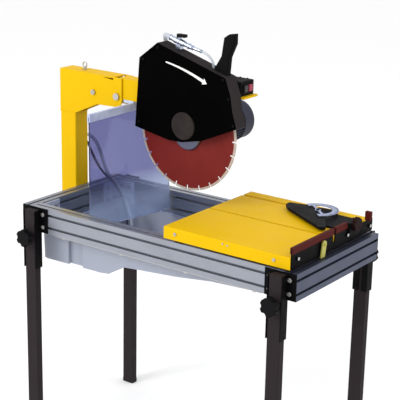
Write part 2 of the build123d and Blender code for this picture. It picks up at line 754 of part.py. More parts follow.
def make_spindle():
    """Shaft, rotor, flanges, nut and the blade, which turn together."""
    with BuildPart() as shaft:
        rod(spindle_axis(SHAFT_FRONT), spindle_axis(SHAFT_END), SHAFT_RADIUS)
        rod(spindle_axis(SHAFT_END), spindle_axis(SHAFT_END + 4), 22)
        with BuildSketch(facing_front(MOTOR_END + 8)):
            with Locations((BLADE_X, BLADE_Z)):
                with PolarLocations(32, 9):
                    Rectangle(48, 3)
        extrude(amount=-(SHAFT_END - MOTOR_END - 10))
    save("spindle_shaft", shaft.part)
    with BuildPart() as rotor:
        rod(spindle_axis(316), spindle_axis(400), 35)
        rod(spindle_axis(315), spindle_axis(401), SHAFT_RADIUS, Mode.SUBTRACT)
    save("motor_rotor", rotor.part)
    half_core = CORE_THICKNESS / 2
    with BuildPart() as flanges:
        rod(spindle_axis(BLADE_Y - half_core - 8), spindle_axis(BLADE_Y - half_core), FLANGE_RADIUS)
        rod(spindle_axis(BLADE_Y + half_core), spindle_axis(BLADE_Y + half_core + 9), FLANGE_RADIUS)
        rod(spindle_axis(BLADE_Y + 8), spindle_axis(BLADE_Y + 15), 16)
        chamfer(flanges.edges().group_by(Axis.Y)[0], 3)
        rod(spindle_axis(200), spindle_axis(250), SHAFT_RADIUS, Mode.SUBTRACT)
    save("blade_flanges", flanges.part)
    with BuildPart() as nut:
        with BuildSketch(facing_front(BLADE_Y - half_core - 8)):
            with Locations((BLADE_X, BLADE_Z)):
                RegularPolygon(17, 6)
                Circle(SHAFT_RADIUS, mode=Mode.SUBTRACT)
        extrude(amount=10)
    save("arbor_nut", nut.part)
    inner = BLADE_RADIUS - RIM_DEPTH
    with BuildPart() as core:
        with BuildSketch(facing_front(BLADE_Y + half_core)):
            with Locations((BLADE_X, BLADE_Z)):
                Circle(inner)
                Circle(SHAFT_RADIUS, mode=Mode.SUBTRACT)
                with PolarLocations(inner - 3, SEGMENTS):
                    Rectangle(10, GULLET_WIDTH, mode=Mode.SUBTRACT)
        extrude(amount=CORE_THICKNESS)
    save("blade_core", core.part)
    with BuildPart() as rim:
        with BuildSketch(facing_front(BLADE_Y + RIM_THICKNESS / 2)):
            with Locations((BLADE_X, BLADE_Z)):
                Circle(BLADE_RADIUS)
                Circle(inner, mode=Mode.SUBTRACT)
                with PolarLocations(BLADE_RADIUS - RIM_DEPTH / 2, SEGMENTS):
                    Rectangle(RIM_DEPTH + 4, GULLET_WIDTH, mode=Mode.SUBTRACT)
        extrude(amount=RIM_THICKNESS)
    save("blade_rim", rim.part)


GUARD_SHEET = 3
CAP_X = 473
CAP_Z = 288
CAP_RADIUS = 42
HANDLE_BASE = (568, 612)
HANDLE_THICKNESS = 22
OUTLET_X = 557.5


def guard_outline():
    """Front view of the guard. The last five corners are its open lower edge."""
    return [
        (304, 473),
        (372, 526),
        (621, 452),
        (640, 402),
        (648, 358),
        (664, 308),
        (541, 253),
        (466, 237),
        (418, 236),
        (289, 259),
    ]


def guard_top(x):
    """Height of the guard's long sloping top edge."""
    left, right = guard_outline()[1:3]
    share = (x - left[0]) / (right[0] - left[0])
    return left[1] + share * (right[1] - left[1])


def guard_hollow(front):
    """The room inside a guard shell, which also opens the lower edge."""
    depth = BLADE_Y - GUARD_FRONT
    lower = guard_outline()[5:]
    left = lower[-1][0] + GUARD_SHEET + 1.5
    right = lower[0][0] - 12
    inside = [(x, z + 12) for x, z in lower[1:-1]]
    below = [(x, z - 30) for x, z in lower[1:-1]]
    with BuildPart() as hollow:
        with BuildSketch(facing_front(front)):
            outline(guard_outline())
            offset(amount=-GUARD_SHEET, kind=Kind.INTERSECTION)
        extrude(amount=-depth)
        with BuildSketch(facing_front(front)):
            ends = [(left, lower[-1][1] + 12), (left, lower[-1][1] - 30)]
            starts = [(right, lower[0][1] - 30), (right, lower[0][1] + 12)]
            outline([starts[1], *inside, *ends, *reversed(below), starts[0]])
        extrude(amount=-depth)
    return hollow.part


def guard_shell(front, back, hollow_front):
    """A face sheet with an edge wall that runs back to the seam."""
    with BuildPart() as shell:
        with BuildSketch(facing_front(front)):
            outline(guard_outline())
        extrude(amount=-(back - front))
        add(guard_hollow(hollow_front), mode=Mode.SUBTRACT)
    return shell.part


def make_guard():
    """Two shells that meet over the blade, and a round inspection cap in the front one."""
    seam = BLADE_Y - 10
    with BuildPart() as front:
        add(guard_shell(GUARD_FRONT, seam, GUARD_FRONT + GUARD_SHEET))
        rod(at(CAP_X, GUARD_FRONT - 1, CAP_Z), at(CAP_X, GUARD_FRONT + 5, CAP_Z), 34, Mode.SUBTRACT)
    save("guard_front", front.part)
    with BuildPart() as back:
        add(guard_shell(seam, GUARD_BACK, GUARD_BACK - GUARD_SHEET - BLADE_Y + GUARD_FRONT))
        rod(spindle_axis(GUARD_BACK - 5), spindle_axis(GUARD_BACK + 1), 30, Mode.SUBTRACT)
        rod(at(OUTLET_X, BLADE_Y, 480), at(OUTLET_X, BLADE_Y, 455), OUTLET_RADIUS + 0.8, Mode.SUBTRACT)
        for x in (430, 560):
            rod(at(x, GUARD_BACK, 350), at(x, FACE_PLATE[0], 350), 9)
    save("guard_back", back.part)
    with BuildPart() as cap:
        rod(at(CAP_X, GUARD_FRONT - 5, CAP_Z), at(CAP_X, GUARD_FRONT, CAP_Z), CAP_RADIUS)
        fillet(cap.edges().group_by(Axis.Y)[0], 3)
        rod(at(CAP_X, GUARD_FRONT, CAP_Z), at(CAP_X, GUARD_FRONT + 4, CAP_Z), 33.8)
    save("guard_cap", cap.part)


def make_feed_handle():
    """A moulded handle that stands on the guard's sloping top."""
    left, right = HANDLE_BASE
    with BuildPart() as handle:
        with BuildSketch(facing_front(BLADE_Y - HANDLE_THICKNESS / 2)):
            outline(
                [
                    (left - 4, guard_top(left - 4)),
                    (left, guard_top(left) + 8),
                    (589, 510),
                    (597, 564),
                    (613, 575),
                    (636, 579),
                    (636, 549),
                    (618, 508),
                    (right + 2, guard_top(right) + 10),
                    (right, guard_top(right)),
                ]
            )
        extrude(amount=-HANDLE_THICKNESS)
        edges = handle.edges().filter_by(Axis.Y, reverse=True)
        fillet(edges.filter_by(lambda edge: edge.center().Z > CORNER_Z + 480), 6)
    save("feed_handle", handle.part)


# ---- Water feed on the guard -------------------------------------------------------------------------

LEVER_X = 432
FEED_RADIUS = 7
OUTLET_RADIUS = 3.5
GUARD_HOSE_ROUTE = [
    (332, 262, 378),
    (334, 262, 410),
    (342, 261, 448),
    (352, 260, 489),
    (357, 256, 522),
    (365, 240, 542),
    (383, BLADE_Y, 547.1),
    (402, BLADE_Y, 541),
]
OUTLET_HOSE_ROUTE = [
    (510, BLADE_Y, 513.5),
    (526, BLADE_Y, 510.25),
    (541, BLADE_Y, 501.5),
    (552, BLADE_Y, 491),
    (557, BLADE_Y, 478),
    (OUTLET_X, BLADE_Y, 465),
]


def make_water_tap():
    """A ball valve between hose tails, clamped to the guard's top."""
    with BuildPart() as tap:
        rod(at(402, BLADE_Y, 541), at(416, BLADE_Y, 536.5), 8)
        rod(at(416, BLADE_Y, 536.5), at(452, BLADE_Y, 527), 9.5)
        rod(at(452, BLADE_Y, 527), at(478, BLADE_Y, 520), 7)
        rod(at(478, BLADE_Y, 520), at(510, BLADE_Y, 513.5), 5)
        rod(at(466, BLADE_Y, 523), at(470, BLADE_Y, 522), 9)
        rod(at(LEVER_X, BLADE_Y, 530), at(LEVER_X, BLADE_Y, 545.2), 6)
        block((424, 440), (BLADE_Y - 8, BLADE_Y + 8), (guard_top(424) + 0.2, 530))
    save("water_tap", tap.part)
    with BuildPart() as lever:
        rod(at(LEVER_X, BLADE_Y, 545.5), at(LEVER_X, BLADE_Y, 555), 9)
        block((LEVER_X - 2, LEVER_X + 24), (BLADE_Y - 8, BLADE_Y + 8), (546.5, 555))
        fillet(lever.edges().filter_by(Axis.Z), 2)
    save("tap_lever", lever.part)


def make_guard_hoses():
    with BuildPart() as hoses:
        cord("feed loop", GUARD_HOSE_ROUTE, FEED_RADIUS)
        cord("outlet", OUTLET_HOSE_ROUTE, OUTLET_RADIUS)
    save("guard_hoses", hoses.part)


# ---- Switch box --------------------------------------------------------------------------------------

SWITCH_X = (575, 637)
SWITCH_Y = (252, 318)
SWITCH_Z = (ARM_TOP + SHELF, ARM_TOP + SHELF + 44)
BUTTON_Z = ARM_TOP + SHELF + 22
BUTTONS = (("start_button", 272), ("stop_button", 296))


def make_switch_box():
    """A box on the shelf with two buttons on its right side and a cable gland underneath its back."""
    with BuildPart() as box:
        block(SWITCH_X, SWITCH_Y, SWITCH_Z)
        fillet(box.edges().filter_by(Axis.X), 5)
        face = SWITCH_X[1]
        cavity = [(low + 3, high - 3) for low, high in (SWITCH_X, SWITCH_Y, SWITCH_Z)]
        block(*cavity, Mode.SUBTRACT)
        block((face - 1, face + 3), (260, 308), (BUTTON_Z - 14, BUTTON_Z + 14))
        for _, y in BUTTONS:
            block((face - 4, face + 4), (y - 9.3, y + 9.3), (BUTTON_Z - 10.3, BUTTON_Z + 10.3), Mode.SUBTRACT)
        rod(at(590, SWITCH_Y[1] - 1, BUTTON_Z - 4), at(590, SWITCH_Y[1] + 16, BUTTON_Z - 4), 8)
        lead = (at(590, SWITCH_Y[1] - 4, BUTTON_Z - 4), at(590, SWITCH_Y[1] + 17, BUTTON_Z - 4))
        rod(*lead, 4.5, Mode.SUBTRACT)
    save("switch_box", box.part)
    for name, y in BUTTONS:
        with BuildPart() as button:
            block((face - 2, face + 7), (y - 9, y + 9), (BUTTON_Z - 10, BUTTON_Z + 10))
            fillet(button.edges().filter_by(Axis.X), 2)
            fillet(button.edges().group_by(Axis.X)[-1], 1.5)
            block((face - 8, face - 2), (y - 3, y + 3), (BUTTON_Z - 3, BUTTON_Z + 3))
        save(name, button.part)


# ---- Splash curtain ----------------------------------------------------------------------------------

CURTAIN_X = (230, 232)
CURTAIN_Y = (45, 403)
BAR_X = (226, 236)
BAR_Z = (288, 312)
CURTAIN_Z = (-60, 303)


def make_curtain():
    """A bar under the arm, and the sheet that hangs from it behind the blade."""
    with BuildPart() as bar:
        block((196, BAR_X[1]), (ARM_FRONT, ARM_BACK), (309, ARM_BOTTOM))
        block((CURTAIN_X[1] + 0.3, BAR_X[1]), CURTAIN_Y, BAR_Z)
        block((BAR_X[0], CURTAIN_X[0] - 0.3), CURTAIN_Y, BAR_Z)
        block(BAR_X, CURTAIN_Y, (CURTAIN_Z[1] + 0.5, BAR_Z[1]))
    save("curtain_bar", bar.part)
    with BuildPart() as sheet:
        block(CURTAIN_X, CURTAIN_Y, CURTAIN_Z)
    save("curtain", sheet.part)


# ---- Cart --------------------------------------------------------------------------------------------

SLOT_HALF = SLOT_WIDTH / 2
SKIRT_BOTTOM = 6
GROOVE = (398, 408)


def make_cart_table():
    """A folded plate split by the blade slot. Straps below the blade's reach join its two halves."""
    slot = (BLADE_Y - SLOT_HALF, BLADE_Y + SLOT_HALF)
    with BuildPart() as table:
        block((CART_LEFT, CART_RIGHT), (0, FRAME_WIDTH), (CART_TOP - PLATE, CART_TOP))
        block((CART_LEFT, CART_RIGHT), (0, 3), (SKIRT_BOTTOM, CART_TOP))
        block((CART_LEFT, CART_RIGHT), (FRAME_WIDTH - 3, FRAME_WIDTH), (SKIRT_BOTTOM, CART_TOP))
        block((CART_RIGHT - 3, CART_RIGHT), (0, FRAME_WIDTH), (SKIRT_BOTTOM + 2, CART_TOP))
        block((CART_LEFT, CART_LEFT + 3), (0, FRAME_WIDTH), (CART_TOP - 14, CART_TOP))
        fillet(table.edges().filter_by(Axis.X).group_by(Axis.Z)[-1].sort_by(Axis.Y)[0], 3)
        block((CART_LEFT - 1, CART_RIGHT + 1), GROOVE, (CART_TOP - 3, CART_TOP + 1), Mode.SUBTRACT)
        block((CART_LEFT - 1, CART_RIGHT + 1), slot, (28, CART_TOP + 1), Mode.SUBTRACT)
        for x in WHEEL_PLACES:
            rod(at(x, -1, 25), at(x, 4, 25), 2.6, Mode.SUBTRACT)
            for y in (20, 430):
                pocket = (CART_TOP - PLATE - 1, CART_TOP - PLATE + 3)
                block((x - 22, x + 22), (y - 9, y + 9), pocket, Mode.SUBTRACT)
            block((x - 20, x + 20), (190, 206), (18, CART_TOP - PLATE))
            block((x - 20, x + 20), (244, 260), (18, CART_TOP - PLATE))
            block((x - 20, x + 20), (190, 260), (18, 27))
            for y in (5, 30, 415, 440):
                block((x - 12, x + 12), (y, y + 5), (7, CART_TOP - PLATE))
                rod(at(x, y - 1, WHEEL_RADIUS + 0.5), at(x, y + 6, WHEEL_RADIUS + 0.5), 5.02, Mode.SUBTRACT)
    save("cart_table", table.part)


def make_wheel_axles():
    """Stub axles in the cart's wheel forks."""
    with BuildPart() as axles:
        for x in WHEEL_PLACES:
            for y in (5, 415):
                rod(at(x, y, WHEEL_RADIUS + 0.5), at(x, y + 30, WHEEL_RADIUS + 0.5), 5)
        screw = cap_screw(5, 3, 2.5, 2)
        places = [Plane(origin=at(x, 0, 25), z_dir=(0, -1, 0)) for x in WHEEL_PLACES]
        with Locations(*places):
            add(screw)
    save("wheel_axles", axles.part)


def make_wheels():
    """Wheels that roll on the rails' tops, each with a ridge that runs in the rail's slot."""
    for name, x in zip(("wheels_left", "wheels_right"), WHEEL_PLACES):
        with BuildPart() as wheels:
            for y in (20, 430):
                rod(at(x, y - 7, WHEEL_RADIUS + 0.5), at(x, y + 7, WHEEL_RADIUS + 0.5), WHEEL_RADIUS)
                rod(at(x, y - 3, WHEEL_RADIUS + 0.5), at(x, y + 3, WHEEL_RADIUS + 0.5), WHEEL_RADIUS + 3)
                hub = (at(x, y - 8, WHEEL_RADIUS + 0.5), at(x, y + 8, WHEEL_RADIUS + 0.5))
                rod(*hub, 5 + FIT, Mode.SUBTRACT)
        save(name, wheels.part)


FENCE_X = (CART_RIGHT, CART_RIGHT + 4)
NOTCH = (BLADE_Y - 6, BLADE_Y + 6)
POST_Y = (418, 430)


def make_fence():
    """The tile stop at the cart's right end, notched where the blade passes."""
    with BuildPart() as fence:
        with BuildSketch(facing_right(FENCE_X[0])):
            outline([(2, 8), (448, 8), (448, 44), (292, 44), (292, FENCE_TOP), (2, FENCE_TOP)])
            with Locations((BLADE_Y, 48)):
                Rectangle(NOTCH[1] - NOTCH[0], 40, mode=Mode.SUBTRACT)
        extrude(amount=FENCE_X[1] - FENCE_X[0])
        for y, z in ((30, 33), (297, 31), (430, 25)):
            rod(at(FENCE_X[1], y, z), at(FENCE_X[1] + 4, y, z), 6)
    save("fence", fence.part)
    with BuildPart() as trim:
        for span in ((2, NOTCH[0]), (NOTCH[1], 292)):
            block((FENCE_X[0] - 3, FENCE_X[1] + 3), span, (FENCE_TOP - 14, FENCE_TOP + 4))
            block(FENCE_X, span, (FENCE_TOP - 15, FENCE_TOP), Mode.SUBTRACT)
        block((FENCE_X[0] - 6, FENCE_X[1] + 8), POST_Y, (44, 70))
    save("fence_trim", trim.part)


LEVER_PIVOT = (FENCE_X[1] + 4, 160, 38)


def make_lock_lever():
    """A flat lever on the fence's back. It hangs down and swings up to lock the cart."""
    x, y, z = LEVER_PIVOT
    with BuildPart() as lever:
        with BuildSketch(facing_right(x)):
            outline([(y - 11, z + 4), (y - 17, z - 35), (y + 4, z - 35), (y + 11, z + 4)])
            with Locations((y, z + 2)):
                Circle(11)
        extrude(amount=4)
        rod(at(x - 3.7, y, z), at(x + 7, y, z), 3.5)
    save("lock_lever", lever.part)


PROTRACTOR_X = 845
PROTRACTOR_Y = 371
BASE_Z = (43, 48)
CLAMP_Y = 331
CLAMP_Z = 57
CLAMP_RIGHT = FENCE_X[1] + 5.5
RING_TILT = 48


def make_protractor():
    """A side stop on the back of the fence: base with a clamp, graduated ring, swinging arm and knob."""
    pivot = (at(PROTRACTOR_X, PROTRACTOR_Y, BASE_Z[0]), at(PROTRACTOR_X, PROTRACTOR_Y, 62))
    clamp_span = (304, 362)
    with BuildPart() as base:
        with BuildSketch(facing_up(BASE_Z[0])):
            with Locations((PROTRACTOR_X, PROTRACTOR_Y)):
                Circle(60)
            outline([(PROTRACTOR_X, 330), (923, 288), (976, 288), (976, 400), (PROTRACTOR_X, 400)])
        extrude(amount=BASE_Z[1] - BASE_Z[0])
        block((970, CLAMP_RIGHT), clamp_span, (BASE_Z[1] - 2, BASE_Z[1] + 16))
        block((FENCE_X[1] + 0.5, CLAMP_RIGHT), clamp_span, (24, BASE_Z[1]))
        rod(*pivot, 5)
        stud = (at(969, CLAMP_Y, CLAMP_Z), at(CLAMP_RIGHT + 1, CLAMP_Y, CLAMP_Z))
        rod(*stud, 3 + FIT, Mode.SUBTRACT)
    save("protractor_base", base.part)
    with BuildPart() as ring:
        with BuildSketch(facing_up(58.3)):
            with Locations((PROTRACTOR_X, PROTRACTOR_Y)):
                Circle(63)
                Circle(43, mode=Mode.SUBTRACT)
                with Locations((-41, -45)):
                    Rectangle(90, 150, rotation=RING_TILT, mode=Mode.SUBTRACT)
                Rectangle(100, 8, rotation=RING_TILT - 90)
                Circle(9)
                Circle(5 + FIT, mode=Mode.SUBTRACT)
        extrude(amount=2)
    save("protractor_ring", ring.part)
    with BuildPart() as arm:
        with BuildSketch(facing_up(BASE_Z[1] + 0.3)):
            rim = [(735, 388), (736, 366), (760, 340), (928, 240)]
            outline([*rim, (942, 247), (938, 262), (866, 372), (800, 402)])
            with Locations((PROTRACTOR_X, PROTRACTOR_Y)):
                Circle(5 + FIT, mode=Mode.SUBTRACT)
        extrude(amount=9)
        fillet(arm.edges().filter_by(Axis.Z).sort_by(Axis.X)[0:3], 4)
    save("protractor_arm", arm.part)
    with BuildPart() as knob:
        with BuildSketch(facing_right(CLAMP_RIGHT + 0.5)):
            with Locations((CLAMP_Y, CLAMP_Z)):
                Circle(21)
                with PolarLocations(23, 7):
                    Circle(4.5, mode=Mode.SUBTRACT)
        extrude(amount=12)
        rod(at(974, CLAMP_Y, CLAMP_Z), at(CLAMP_RIGHT + 1, CLAMP_Y, CLAMP_Z), 3)
    save("protractor_knob", knob.part)


make_rails()
make_corner_brackets()
make_frame_bolts()
make_water_tank()
make_drain_plug()
make_tank_runners()
make_pump()
make_pump_lines()
make_leg_sockets()
make_legs()
make_leg_knobs()
make_column()
make_head_bracket()
make_pivot_pin()
make_depth_screw()
make_lift_spring()
make_head_arm()
make_motor_plate()
make_motor()
make_spindle()
make_guard()
make_feed_handle()
make_water_tap()
make_guard_hoses()
make_switch_box()
make_curtain()
make_cart_table()
make_wheel_axles()
make_wheels()
make_fence()
make_lock_lever()
make_protractor()
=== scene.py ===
import json
from math import cos, pi, radians, sin

import bmesh
import bpy
from mathutils import Matrix, Vector, noise


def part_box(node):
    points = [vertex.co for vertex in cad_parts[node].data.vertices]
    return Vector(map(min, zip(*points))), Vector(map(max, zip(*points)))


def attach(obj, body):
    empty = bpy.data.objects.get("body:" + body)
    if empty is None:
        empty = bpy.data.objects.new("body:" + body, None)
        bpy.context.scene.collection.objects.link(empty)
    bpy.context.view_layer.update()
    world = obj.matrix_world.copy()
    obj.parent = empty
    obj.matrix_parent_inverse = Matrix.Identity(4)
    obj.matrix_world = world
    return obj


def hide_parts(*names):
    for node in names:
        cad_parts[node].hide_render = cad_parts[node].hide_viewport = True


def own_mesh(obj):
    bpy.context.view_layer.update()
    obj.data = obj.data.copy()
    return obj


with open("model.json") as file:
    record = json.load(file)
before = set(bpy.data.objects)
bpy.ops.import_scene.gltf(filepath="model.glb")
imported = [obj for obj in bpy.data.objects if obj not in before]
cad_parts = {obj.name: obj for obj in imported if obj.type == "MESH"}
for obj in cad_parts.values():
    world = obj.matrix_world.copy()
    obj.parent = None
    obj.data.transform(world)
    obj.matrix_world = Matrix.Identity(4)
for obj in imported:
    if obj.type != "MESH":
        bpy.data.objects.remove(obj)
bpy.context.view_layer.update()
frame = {"nodes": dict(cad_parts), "record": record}
NODES = frame["nodes"]
MM = 0.001

# The frame's front left top corner, from which the machine's places are given, in millimetres.
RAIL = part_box("rail_left")
DATUM = Vector((RAIL[0][0], RAIL[0][1], RAIL[1][2]))


def at(x, y, z):
    """A point in metres, given in millimetres from the frame's front left top corner."""
    return DATUM + Vector((x, y, z)) * MM


# ---- Camera, lights and floor ------------------------------------------------------------------------

CAMERA_TARGET = at(475.0, 284.5, 37.1)
CAMERA_DISTANCE = 3.899
CAMERA_AZIMUTH = radians(35.883)
CAMERA_ELEVATION = radians(17.095)
CAMERA_ROLL = radians(1.171)
CAMERA_LENS = 113.73


def make_camera():
    data = bpy.data.cameras.new("camera")
    data.lens = CAMERA_LENS
    data.sensor_width = 36
    data.clip_end = 50
    camera = bpy.data.objects.new("camera", data)
    bpy.context.scene.collection.objects.link(camera)
    level = cos(CAMERA_ELEVATION)
    back = Vector((sin(CAMERA_AZIMUTH) * level, -cos(CAMERA_AZIMUTH) * level, sin(CAMERA_ELEVATION)))
    right = Vector((cos(CAMERA_AZIMUTH), sin(CAMERA_AZIMUTH), 0))
    up = back.cross(right)
    rolled_right = cos(CAMERA_ROLL) * right + sin(CAMERA_ROLL) * up
    rolled_up = cos(CAMERA_ROLL) * up - sin(CAMERA_ROLL) * right
    turn = Matrix((rolled_right, rolled_up, back)).transposed().to_4x4()
    camera.matrix_world = Matrix.Translation(CAMERA_TARGET + back * CAMERA_DISTANCE) @ turn
    bpy.context.scene.camera = camera


# Each light's place in metres, the length of its side and its power in watts.
LIGHTS = {
    "key": ((-1.6, -3.4, 3.0), 1.8, 78),
    "rim": ((2.6, 1.8, 2.6), 1.6, 14),
}
LIGHTS_AIM = (0, 0, 0.75)
SKY_STRENGTH = 1.0
FLOOR_REACH = 12
FLOOR_WHITE = (0.97, 0.97, 0.97, 1)


def make_area_light(name, place, size, power):
    data = bpy.data.lights.new(name, "AREA")
    data.size = size
    data.energy = power
    light = bpy.data.objects.new(name, data)
    light.location = place
    light.rotation_euler = (Vector(LIGHTS_AIM) - Vector(place)).to_track_quat("-Z", "Y").to_euler()
    bpy.context.scene.collection.objects.link(light)


def make_stage():
    world = bpy.data.worlds.new("studio")
    world.use_nodes = True
    sky = world.node_tree.nodes["Background"]
    sky.inputs["Color"].default_value = (1, 1, 1, 1)
    sky.inputs["Strength"].default_value = SKY_STRENGTH
    bpy.context.scene.world = world
    bpy.context.scene.view_settings.view_transform = "Standard"
    for name, (place, size, power) in LIGHTS.items():
        make_area_light(name, place, size, power)
    mesh = bpy.data.meshes.new("floor")
    corners = [(x * FLOOR_REACH, y * FLOOR_REACH, 0) for x, y in ((-1, -1), (1, -1), (1, 1), (-1, 1))]
    mesh.from_pydata(corners, [], [(0, 1, 2, 3)])
    floor = bpy.data.objects.new("floor", mesh)
    bpy.context.scene.collection.objects.link(floor)
    pale = bpy.data.materials.new("floor_white")
    pale.use_nodes = True
    bsdf = pale.node_tree.nodes["Principled BSDF"]
    bsdf.inputs["Base Color"].default_value = FLOOR_WHITE
    bsdf.inputs["Roughness"].default_value = 0.9
    mesh.materials.append(pale)


# ---- Materials ---------------------------------------------------------------------------------------


def linear(red, green, blue):
    """Display colour, 0 to 255, as the linear colour that shaders use."""
    def one(value):
        value /= 255
        return value / 12.92 if value <= 0.04045 else ((value + 0.055) / 1.055) ** 2.4
    return (one(red), one(green), one(blue), 1)


def scaled(colour, factor):
    return tuple(min(1, part * factor) for part in colour[:3]) + (1,)


class Graph:
    """A material's node tree with short ways to add nodes and links."""

    def __init__(self, name):
        self.material = bpy.data.materials.new(name)
        self.material.use_nodes = True
        self.tree = self.material.node_tree
        self.bsdf = self.tree.nodes["Principled BSDF"]
        self.place = self.add("ShaderNodeTexCoord").outputs["Object"]

    def add(self, kind, **settings):
        node = self.tree.nodes.new(kind)
        for key, value in settings.items():
            setattr(node, key, value)
        return node

    def link(self, source, target):
        self.tree.links.new(source, target)

    def stretched(self, scale):
        mapping = self.add("ShaderNodeMapping")
        mapping.inputs["Scale"].default_value = scale
        self.link(self.place, mapping.inputs["Vector"])
        return mapping.outputs["Vector"]

    def noise(self, scale, detail=4, rough=0.5, stretch=None):
        node = self.add("ShaderNodeTexNoise")
        node.inputs["Scale"].default_value = scale
        node.inputs["Detail"].default_value = detail
        node.inputs["Roughness"].default_value = rough
        self.link(self.stretched(stretch) if stretch else self.place, node.inputs["Vector"])
        return node.outputs["Fac"]

    def ramp(self, value, low, high, out_low=0.0, out_high=1.0):
        node = self.add("ShaderNodeMapRange")
        node.inputs["From Min"].default_value = low
        node.inputs["From Max"].default_value = high
        node.inputs["To Min"].default_value = out_low
        node.inputs["To Max"].default_value = out_high
        self.link(value, node.inputs["Value"])
        return node.outputs["Result"]

    def multiply(self, first, second):
        node = self.add("ShaderNodeMath", operation="MULTIPLY")
        for index, value in enumerate((first, second)):
            if isinstance(value, float):
                node.inputs[index].default_value = value
            else:
                self.link(value, node.inputs[index])
        return node.outputs["Value"]

    def mix(self, share, first, second):
        node = self.add("ShaderNodeMix", data_type="RGBA")
        self.link(share, node.inputs[0])
        for index, value in ((6, first), (7, second)):
            if isinstance(value, tuple):
                node.inputs[index].default_value = value
            else:
                self.link(value, node.inputs[index])
        return node.outputs[2]

    def edges(self, radius):
        """A mask that is 1 on convex and concave edges, and the softened normal itself."""
        bevel = self.add("ShaderNodeBevel", samples=4)
        bevel.inputs["Radius"].default_value = radius
        geometry = self.add("ShaderNodeNewGeometry")
        dot = self.add("ShaderNodeVectorMath", operation="DOT_PRODUCT")
        self.link(bevel.outputs["Normal"], dot.inputs[0])
        self.link(geometry.outputs["Normal"], dot.inputs[1])
        return self.ramp(dot.outputs["Value"], 0.995, 0.88), bevel.outputs["Normal"]

    def painted_shading_by_facing(self, axis, low, high):
        """A mask that runs from 0 to 1 as the surface turns along an axis, used to paint shade or light by
        which way a face points.
        """
        geometry = self.add("ShaderNodeNewGeometry")
        parts = self.add("ShaderNodeSeparateXYZ")
        self.link(geometry.outputs["Normal"], parts.inputs["Vector"])
        return self.ramp(parts.outputs[axis], low, high)

    def bump(self, height, strength, distance, normal=None):
        node = self.add("ShaderNodeBump")
        node.inputs["Strength"].default_value = strength
        node.inputs["Distance"].default_value = distance
        self.link(height, node.inputs["Height"])
        if normal is not None:
            self.link(normal, node.inputs["Normal"])
        return node.outputs["Normal"]

    def finish(self, colour, rough, normal, metallic=0.0, specular=0.5):
        self.link(colour, self.bsdf.inputs["Base Color"])
        self.link(rough, self.bsdf.inputs["Roughness"])
        self.link(normal, self.bsdf.inputs["Normal"])
        self.bsdf.inputs["Metallic"].default_value = metallic
        self.bsdf.inputs["Specular IOR Level"].default_value = specular
        return self.material


# How far each finish rounds its edges off, in metres.
PAINT_EDGE = 0.0007
EXTRUDED_EDGE = 0.0006
METAL_EDGE = 0.0004
PLASTIC_EDGE = 0.0006
CLEAR_EDGE = 0.0012


def paint(name, colour, rough, worn, dirt=0.12, peel=0.25, specular=0.5, front_painted_shade=None):
    """Powder coat: orange peel, faint grime, dulled patches and worn edges. Front faces can take another
    colour, painted shade.
    """
    graph = Graph(name)
    clouds = graph.noise(7, 5, 0.6)
    toned = graph.mix(graph.ramp(clouds, 0.42, 0.75, 0, dirt), colour, scaled(colour, 0.45))
    if front_painted_shade is not None:
        # faces pointing -Y take the darker front colour: painted shade
        toned = graph.mix(graph.painted_shading_by_facing("Y", -0.4, -0.9), toned, front_painted_shade)
    mask, soft = graph.edges(PAINT_EDGE)
    chips = graph.ramp(graph.noise(160, 5, 0.7), 0.52, 0.6)
    final = graph.mix(graph.multiply(mask, graph.multiply(chips, 0.55)), toned, worn)
    dull = graph.ramp(graph.noise(22, 6, 0.65), 0.3, 0.7, rough - 0.06, rough + 0.1)
    skin = graph.bump(graph.noise(900, 2), peel, 0.0002, soft)
    return graph.finish(final, dull, skin, specular=specular)


def extruded_aluminium(name, colour, along):
    """Anodised extrusion: fine die lines along one axis, handling marks and bright edges."""
    graph = Graph(name)
    across = [1.0 if axis == along else 60.0 for axis in range(3)]
    lines = graph.noise(22, 3, 0.7, tuple(across))
    smudge = graph.noise(9, 5, 0.6)
    toned = graph.mix(graph.ramp(lines, 0.35, 0.7, 0, 0.35), colour, scaled(colour, 0.72))
    toned = graph.mix(graph.ramp(smudge, 0.5, 0.8, 0, 0.25), toned, scaled(colour, 0.6))
    mask, soft = graph.edges(EXTRUDED_EDGE)
    final = graph.mix(graph.multiply(mask, 0.5), toned, scaled(colour, 1.35))
    rough = graph.ramp(smudge, 0.3, 0.8, 0.34, 0.52)
    return graph.finish(final, rough, graph.bump(lines, 0.12, 0.0003, soft), metallic=0.72)


def metal(name, colour, rough=0.32, metallic=0.9):
    """Plated or turned steel: brushed grain, slight staining and bright edges."""
    graph = Graph(name)
    brushed = graph.noise(20, 4, 0.7, (60, 60, 60))
    stain = graph.noise(30, 5, 0.6)
    toned = graph.mix(graph.ramp(stain, 0.45, 0.8, 0, 0.4), colour, scaled(colour, 0.55))
    mask, soft = graph.edges(METAL_EDGE)
    final = graph.mix(graph.multiply(mask, 0.5), toned, scaled(colour, 1.3))
    roughness = graph.ramp(brushed, 0.3, 0.7, rough - 0.07, rough + 0.1)
    return graph.finish(final, roughness, graph.bump(brushed, 0.15, 0.0002, soft), metallic=metallic)


def plastic(name, colour, rough=0.5, grain=1400, depth=0.35, specular=0.5):
    """Moulded plastic: spark-eroded grain, faint sheen changes and dusty recesses."""
    graph = Graph(name)
    clouds = graph.noise(24, 5, 0.6)
    toned = graph.mix(graph.ramp(clouds, 0.4, 0.75, 0, 0.5), colour, scaled(colour, 1.8))
    mask, soft = graph.edges(PLASTIC_EDGE)
    final = graph.mix(graph.multiply(mask, 0.35), toned, scaled(colour, 3.0))
    roughness = graph.ramp(clouds, 0.3, 0.7, rough - 0.06, rough + 0.1)
    skin = graph.bump(graph.noise(grain, 2), depth, 0.0002, soft)
    return graph.finish(final, roughness, skin, specular=specular)


